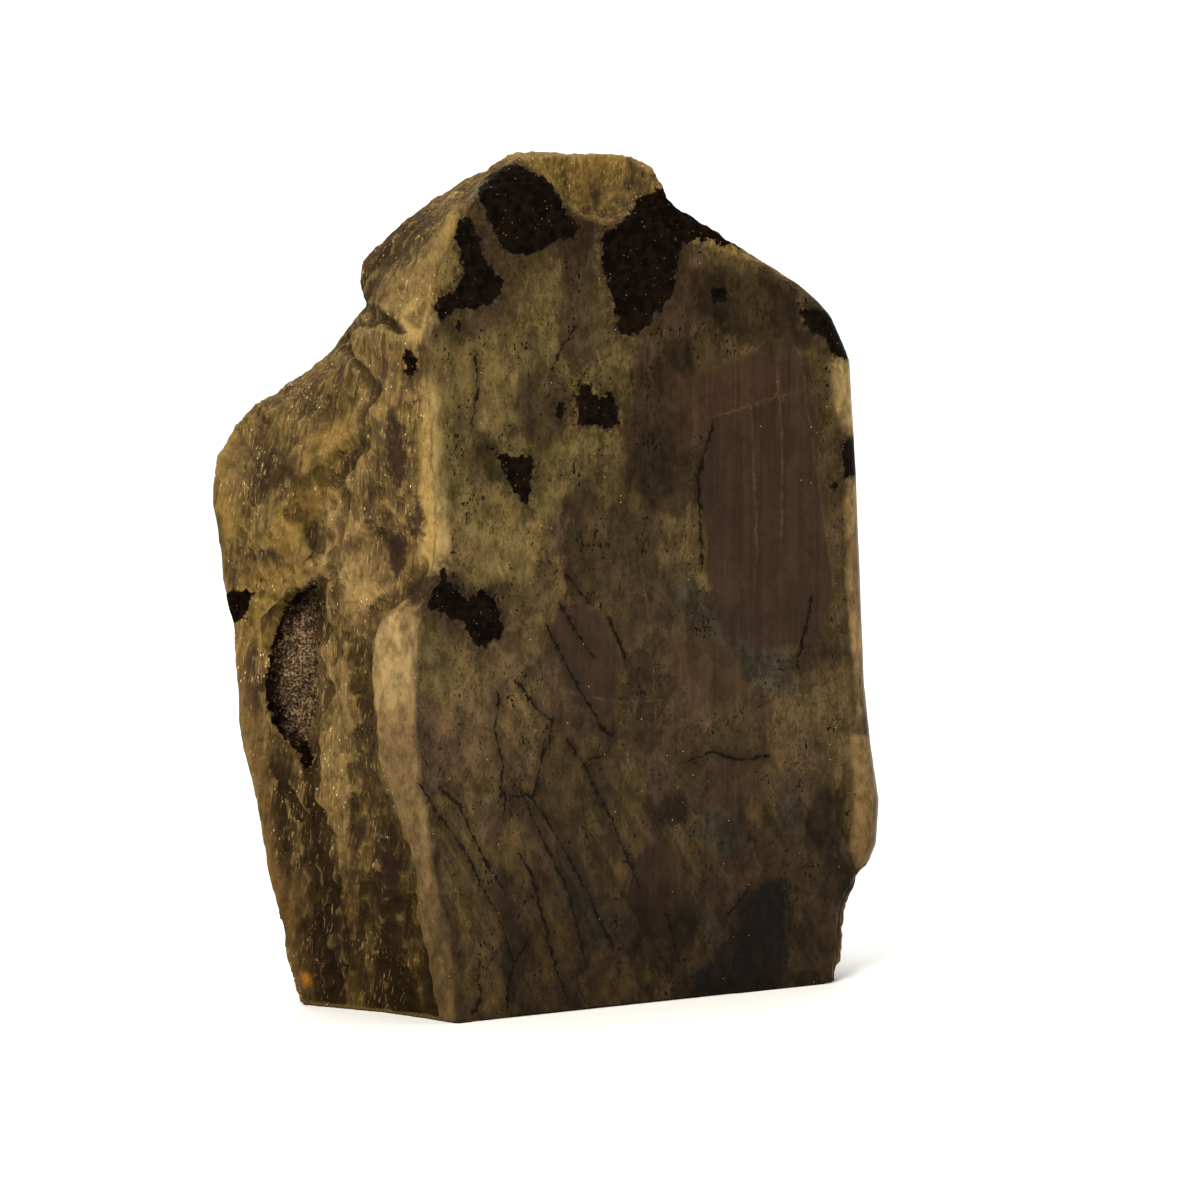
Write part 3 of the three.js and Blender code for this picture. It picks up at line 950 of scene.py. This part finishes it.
def face_colour(tree, where, coarse, coarse_colour, fine, up_stone):
    grains = mosaic(tree, where, coarse_colour)
    colour = blend(tree, grains["Red"], tint(74, 60, 36), tint(52, 41, 26))
    colour = blend(tree, ramp(tree, grains["Green"], 0.6, 0.75, 0.0, 0.75), colour, tint(64, 49, 37))
    colour, _ = patched(tree, colour, FACE_PATCHES, coarse)
    colour, calm = patched(tree, colour, CALM_PATCHES, coarse)
    colour, edges = patched(tree, colour, EDGE_PATCHES, coarse)
    clean = calculate(tree, "MAXIMUM", calm, edges)
    mottle = noise(tree, stretch(tree, where, (0.5, 0.5, 0.3)), 1.0, 4.0, 0.75)
    mottle = ramp(tree, mottle, 0.3, 0.7, 0.55, 1.45)
    mottle = times(tree, mottle, ramp(tree, grains["Blue"], 0.0, 1.0, 0.78, 1.2))
    mottle = blend(tree, times(tree, calm, 0.7), mottle, (1, 1, 1, 1))
    colour = shaded(tree, colour, mottle)
    layer = noise(tree, stretch(tree, where, (1.7, 1.7, 0.04)), 1.0, 2.0)
    leaning = add_node(tree, "ShaderNodeVectorRotate", {
        "Vector": where, "Axis": (0, 1, 0), "Angle": BAND_LEAN}).outputs["Vector"]
    bands = noise(tree, stretch(tree, leaning, (0.4, 0.4, 0.05)), 1.0, 3.0, 0.6)
    bands = ramp(tree, bands, 0.48, 0.6, 1.06, 0.7)
    low_down = times(tree, ramp(tree, up_stone, 55.0, 20.0), ramp(tree, clean, 0.5, 0.0))
    colour = blend(tree, low_down, colour, shaded(tree, colour, bands))
    layered = ramp(tree, calm, 0.0, 0.8, 0.25, 1.0)
    layer = ramp(tree, layer, 0.3, 0.7, 0.84, 1.16)
    colour = blend(tree, layered, colour, shaded(tree, colour, layer))
    pale = ramp(tree, fine["Green"], 0.35, 0.65, 0.0, 0.3)
    pale = times(tree, line(tree, "layer_edge", fine["Blue"], 0.3), pale)
    colour = blend(tree, pale, colour, tint(110, 86, 62))
    # Painted shade: the face is darker towards its foot, where less light falls.
    colour = shaded(tree, colour, ramp(tree, up_stone, 2.0, 45.0, 0.7, 1.0))
    halo = ramp(tree, painted(tree, "dark"), 3.4, 0.0)
    halo = times(tree, halo, ramp(tree, fine["Blue"], 0.4, 0.62, 0.05, 0.8))
    colour = blend(tree, halo, colour, tint(36, 28, 15))
    width = ramp(tree, fine["Green"], 0.42, 0.68, 0.1, 0.8)
    for name in ("crack", "second_crack"):
        stain = ramp(tree, painted(tree, name), 1.6, 0.0, 0.0, 0.5)
        colour = blend(tree, stain, colour, tint(40, 30, 17))
        colour = blend(tree, line(tree, name, fine["Red"], width), colour, tint(14, 9, 4))
    for channel, level in (("Green", 0.5), ("Blue", 0.46)):
        vein = calculate(tree, "ABSOLUTE", calculate(tree, "SUBTRACT", coarse[channel], level))
        vein = calculate(tree, "MULTIPLY_ADD", clean, 0.03, vein)
        colour = blend(tree, ramp(tree, vein, 0.018, 0.0, 0.0, 0.45), colour, tint(34, 25, 12))
    speckle = noise(tree, stretch(tree, where, (2.2, 2.2, 1.4)), 1.0, 2.0)
    crowd = calculate(tree, "MULTIPLY_ADD", coarse["Red"], 0.8, speckle)
    crowd = calculate(tree, "MULTIPLY_ADD", clean, -0.14, crowd)
    colour = blend(tree, ramp(tree, crowd, 1.07, 1.11), colour, tint(17, 11, 6))
    # Painted glints: a few small pale spots scattered over the face.
    return blend(tree, flecks(tree, where, 1.1, 0.05, 0.12), colour, tint(196, 164, 104))


print("bands lean by degrees:", round(math.degrees(BAND_LEAN)))

# %% [markdown]
# The broken sides are olive and granular. Painted shade darkens their hollows and recesses, and painted
# highlights lighten their edges. Silky threads and bright specks are painted highlights, where a fibre or a
# cleavage would catch the light. One streaky noise breaks the edges of all their patches. The crystals are
# nearly black with grey grains and painted glints.

# %% Colour of the broken sides and crystals
def broken_colour(tree, coarse, fine, fibre, broad, along):
    colour = blend(tree, ramp(tree, fibre, 0.36, 0.64), tint(76, 60, 34), tint(124, 100, 54))
    streak = noise(tree, stretch(tree, along, (0.4, 0.4, 0.06)), 1.0, 3.0, 0.65)
    colour = blend(tree, ramp(tree, streak, 0.5, 0.38, 0.0, 0.8), colour, tint(82, 69, 44))
    colour = blend(tree, ramp(tree, streak, 0.48, 0.62, 0.0, 0.8), colour, tint(58, 44, 30))
    colour = shaded(tree, colour, ramp(tree, broad, 0.38, 0.62, 1.12, 0.8))
    colour, _ = patched(tree, colour, SIDE_PATCHES, dict.fromkeys(("Red", "Green", "Blue"), streak))
    colour = shaded(tree, colour, ramp(tree, fine["Red"], 0.3, 0.7, 0.78, 1.22))
    # Painted shade: the broad recesses and the small hollows of the hackle are darkened, where less light
    # reaches.
    colour = shaded(tree, colour, ramp(tree, painted(tree, "recess"), -0.5, 0.8, 1.12, 0.68))
    hollow = ramp(tree, painted(tree, "hollow"), 0.0, 0.18, 0.0, 0.48)
    colour = blend(tree, hollow, colour, tint(42, 31, 17))
    # Painted highlight: the raised edges of the hackle are lightened, as if light caught them.
    edge = ramp(tree, painted(tree, "hollow"), -0.04, -0.22, 0.0, 0.35)
    colour = blend(tree, edge, colour, tint(156, 130, 82))
    silky = ragged(tree, "silk", coarse["Red"], 3.0, 2.0)
    crowd = calculate(tree, "MAXIMUM", ramp(tree, coarse["Blue"], 0.42, 0.6), silky)
    # Painted highlights: silky threads and bright specks on the raised parts stand in for light caught by
    # fibres and cleavages.
    painted_thread_highlight = ramp(tree, noise(tree, stretch(tree, along, (3.4, 3.4, 0.3)), 1.0, 2.0), 0.58, 0.7, 0.0, 0.7)
    colour = blend(tree, times(tree, painted_thread_highlight, crowd), colour, tint(180, 152, 100))
    raised = times(tree, crowd, ramp(tree, painted(tree, "hollow"), 0.05, -0.1))
    painted_glint_speck = flecks(tree, stretch(tree, along, (1, 1, 0.45)), 2.6, 0.25, 0.3)
    colour = blend(tree, times(tree, painted_glint_speck, raised), colour, tint(240, 218, 170))
    return patched(tree, colour, LENSES, fine)[0]


def crystal_colour(tree, where, fine, grain):
    shade = ramp(tree, fine["Green"], 0.35, 0.7)
    colour = blend(tree, shade, tint(6, 2, 0), tint(24, 15, 8))
    sheen = blend(tree, ramp(tree, grain, 0.44, 0.62), tint(62, 49, 38), tint(158, 131, 100))
    grainy = ramp(tree, fine["Red"], 0.35, 0.6, 0.3, 1.0)
    ash = times(tree, ragged(tree, "ash", fine["Blue"], 4.0, 2.2), grainy)
    colour = blend(tree, ash, colour, sheen)
    crowded = ramp(tree, fine["Blue"], 0.52, 0.64)
    glints = times(tree, flecks(tree, where, 2.6, 0.35, 0.27), crowded)
    return blend(tree, glints, colour, tint(160, 124, 82))


print("tints on the sides:", len(SIDE_PATCHES + LENSES))

# %% [markdown]
# One Principled shader wears all of it. Polish and breakage meet at the painted edge, the crystals lie
# over both, and one Bump node carries what is too fine for the skin: the grain of the broken sides and of
# the crystals.

# %% Material
def labradorite():
    material = bpy.data.materials.new("labradorite")
    material.use_nodes = True
    tree = material.node_tree
    tree.nodes.clear()
    local = add_node(tree, "ShaderNodeTexCoord").outputs["Object"]
    where = stretch(tree, local, (1 / MM, 1 / MM, 1 / MM))
    along = add_node(tree, "ShaderNodeVectorRotate", {
        "Vector": where, "Axis": back, "Angle": FIBRE_LEAN}).outputs["Vector"]
    coarse_colour, coarse = three_noises(tree, stretch(tree, where, (1, 1, 0.6)), 0.22, 3.0, 0.7)
    _, fine = three_noises(tree, where, 0.85, 3.0, 0.62)
    fibre = noise(tree, stretch(tree, along, (1.6, 1.6, 0.22)), 1.0, 4.0, 0.7)
    grain = noise(tree, where, 2.6, 3.0, 0.65)
    polish = painted(tree, "polished")
    broad = noise(tree, where, 0.09, 2.0, 0.6)
    hidden = times(tree, painted(tree, "unseen"), ramp(tree, broad, 0.6, 0.62))
    dark = calculate(tree, "MAXIMUM", ragged(tree, "dark", fine["Red"], 1.4, 0.14), hidden)
    up_stone = add_node(tree, "ShaderNodeSeparateXYZ", {"Vector": where}).outputs["Z"]
    face = face_colour(tree, where, coarse, coarse_colour, fine, up_stone)
    colour = blend(tree, polish, broken_colour(tree, coarse, fine, fibre, broad, along), face)
    colour = blend(tree, dark, colour, crystal_colour(tree, where, fine, grain))
    # Painted shade: the whole stone is darker and warmer towards its foot, as the light falls off there.
    painted_foot_shade = blend(tree, ramp(tree, up_stone, 0.0, 60.0), (0.66, 0.62, 0.54, 1), (1.0, 0.99, 0.96, 1))
    colour = shaded(tree, colour, painted_foot_shade)
    roughness = ramp(tree, polish, 0.0, 1.0, 0.72, 0.34)
    roughness = calculate(tree, "MULTIPLY_ADD", dark, 0.12, roughness)
    height = calculate(tree, "MULTIPLY_ADD", grain, 0.6, fibre)
    crystal = ramp(tree, painted(tree, "dark"), 0.2, -0.2, 0.0, 0.25)
    depth_here = calculate(tree, "MAXIMUM", ramp(tree, polish, 0.0, 1.0, 0.55, 0.01), crystal)
    bump = add_node(tree, "ShaderNodeBump", {
        "Strength": 1.0, "Distance": MM, "Height": times(tree, height, depth_here)})
    shader = add_node(tree, "ShaderNodeBsdfPrincipled", {
        "Base Color": colour, "Roughness": roughness, "Normal": bump.outputs["Normal"],
        "Specular IOR Level": ramp(tree, dark, 0.0, 1.0, 0.05, 0.015)})
    add_node(tree, "ShaderNodeOutputMaterial", {"Surface": shader.outputs["BSDF"]})
    return material


stone.data.materials.clear()
stone.data.materials.append(labradorite())
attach(stone, "root")
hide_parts(NODE)
print("nodes in the material:", len(stone.data.materials[0].node_tree.nodes))

# %% [markdown]
# The stone stands on a plain pale sweep: a sheet that lies flat and rises behind in one curve, so there
# is no horizon.

# %% Floor
SHEET = 5.0
SHEET_WIDTH = 1.4
FLAT_FRONT = 0.42
FLAT_BEHIND = 0.5
BEND = 0.7


def pale_paper():
    material = bpy.data.materials.new("pale paper")
    material.use_nodes = True
    shader = material.node_tree.nodes["Principled BSDF"]
    shader.inputs["Base Color"].default_value = (0.86, 0.86, 0.85, 1)
    shader.inputs["Roughness"].default_value = 0.9
    shader.inputs["Specular IOR Level"].default_value = 0.1
    return material


bpy.ops.object.select_all(action="DESELECT")
bpy.ops.mesh.primitive_grid_add(x_subdivisions=2, y_subdivisions=120, size=SHEET)
floor = bpy.context.object
floor.name = "floor"
sheet = points_of(floor.data)
sheet[:, 0] *= SHEET_WIDTH / SHEET
sheet[:, 1] += SHEET / 2 - FLAT_FRONT
run = sheet[:, 1] - FLAT_BEHIND
turn = np.clip(run / BEND, 0, math.pi / 2)
wall = np.maximum(run - BEND * math.pi / 2, 0)
sheet[:, 1] = np.minimum(sheet[:, 1], FLAT_BEHIND) + BEND * np.sin(turn)
sheet[:, 2] = BEND * (1 - np.cos(turn)) + wall
floor.data.vertices.foreach_set("co", sheet.astype(np.float32).ravel())
floor.rotation_euler.z = LOOKS_FROM[0]
bpy.ops.object.transform_apply(rotation=True)
bpy.ops.object.shade_smooth()
floor.data.materials.append(pale_paper())
print("floor points:", len(sheet))

# %% [markdown]
# The key light is a soft box close by on the upper left, which rakes over the broken side and falls off
# towards the foot. A weaker one lights the right edge. Both are a little warm, and so is the dim world. A
# broad white one overhead keeps the sweep pale.

# %% Lights
WARM = (1.0, 0.95, 0.86)


def soft_box(name, place, aim, size, power, colour=(1, 1, 1)):
    bpy.ops.object.light_add(type="AREA", location=place)
    light = bpy.context.object
    light.name = name
    light.data.shape = "SQUARE"
    light.data.size = size
    light.data.energy = power
    light.data.color = colour
    light.rotation_euler = (Vector(aim) - Vector(place)).to_track_quat("-Z", "Y").to_euler()


soft_box("key", (-0.38, -0.32, 0.5), (0, 0, 0.08), 0.22, 5.0, WARM)
soft_box("edge", (0.75, -0.35, 0.4), (0, 0, 0.08), 0.4, 3.0, WARM)
soft_box("overhead", (0.1, 0.5, 1.7), (0.1, 0.4, 0), 1.6, 38.0)

world = bpy.data.worlds.new("studio")
bpy.context.scene.world = world
world.use_nodes = True
world.node_tree.nodes["Background"].inputs["Color"].default_value = (*WARM, 1)
world.node_tree.nodes["Background"].inputs["Strength"].default_value = 0.08
bpy.context.scene.view_settings.view_transform = "Standard"

# %% [markdown]
# The scene ends here.

# %% End
print("scene built")
